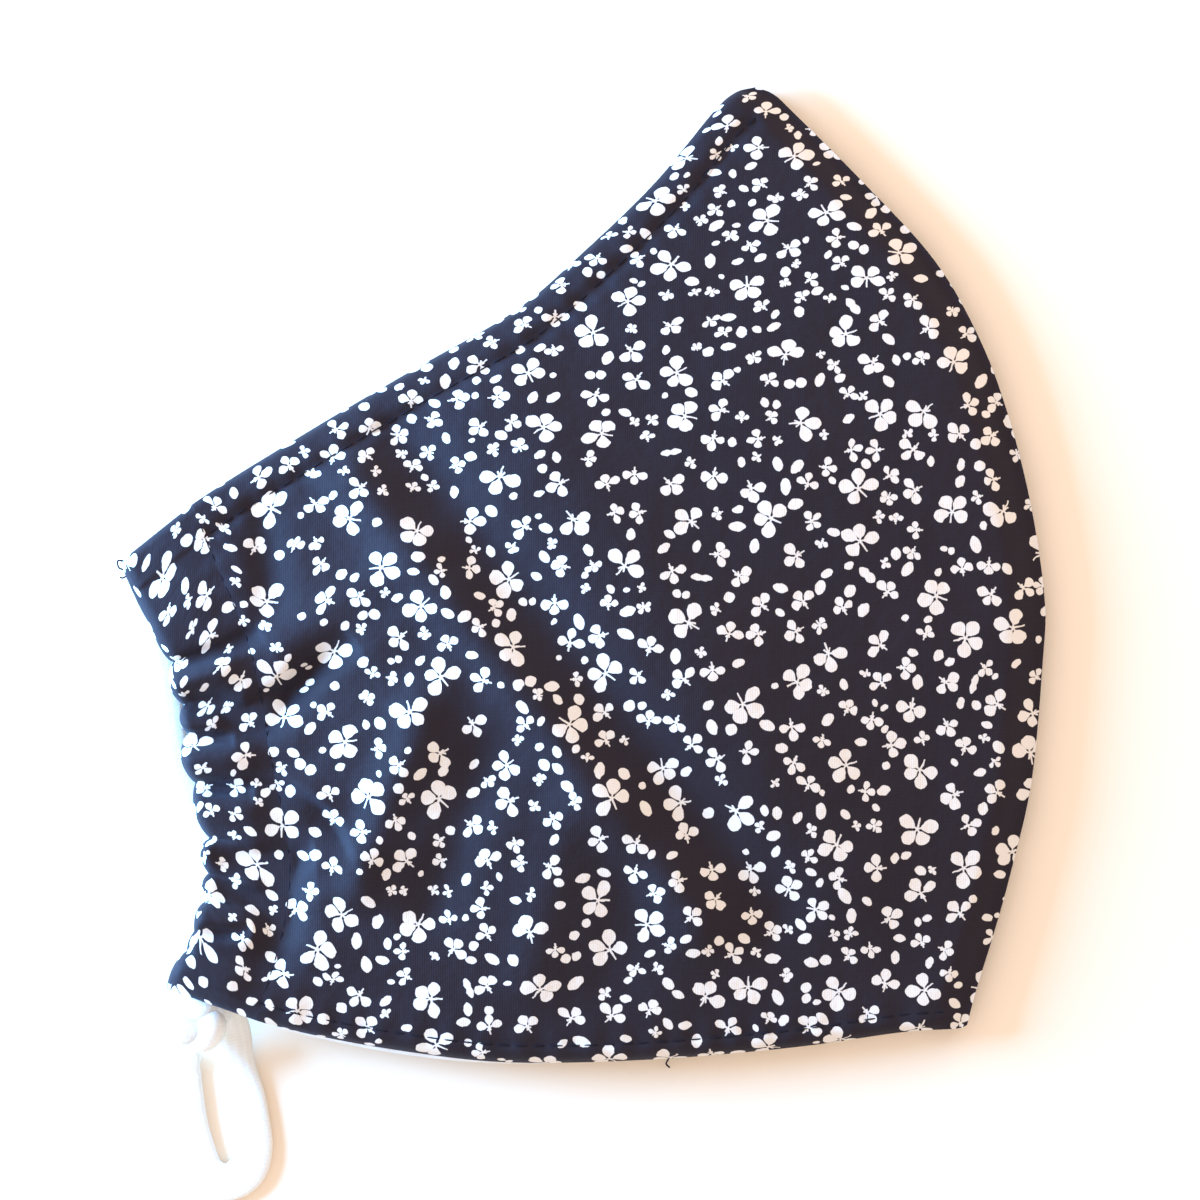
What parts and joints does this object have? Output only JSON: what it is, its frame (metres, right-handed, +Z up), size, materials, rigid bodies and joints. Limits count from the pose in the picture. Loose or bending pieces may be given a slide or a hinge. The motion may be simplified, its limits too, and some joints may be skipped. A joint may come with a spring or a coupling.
{
  "type": "cloth face mask",
  "caption": "Fitted cloth face mask with a leaf print, folded in half along its centre seam, with gathered sides and elastic ear loops.",
  "frame": {"origin": "under the middle of the folded mask, without its ear loops, on the surface that it lies on", "axes": "+Z up from that surface, through the folded halves; +X from the gathered ear side to the centre seam; +Y from the chin to the nose"},
  "size_m": [0.1386, 0.1657, 0.0139],
  "materials": {
    "printed_cotton": "matt",
    "lining_cotton": "matt",
    "soft_elastic": "matt"
  },
  "bodies": {
    "root": {"outer_panel_right": "printed_cotton", "outer_panel_left": "printed_cotton", "lining_right": "lining_cotton", "lining_left": "lining_cotton", "side_casing_right": "printed_cotton", "side_casing_left": "printed_cotton", "ear_loop_right": "soft_elastic", "loop_knot_right": "soft_elastic", "ear_loop_left": "soft_elastic", "loop_knot_left": "soft_elastic"}
  },
  "joints": []
}
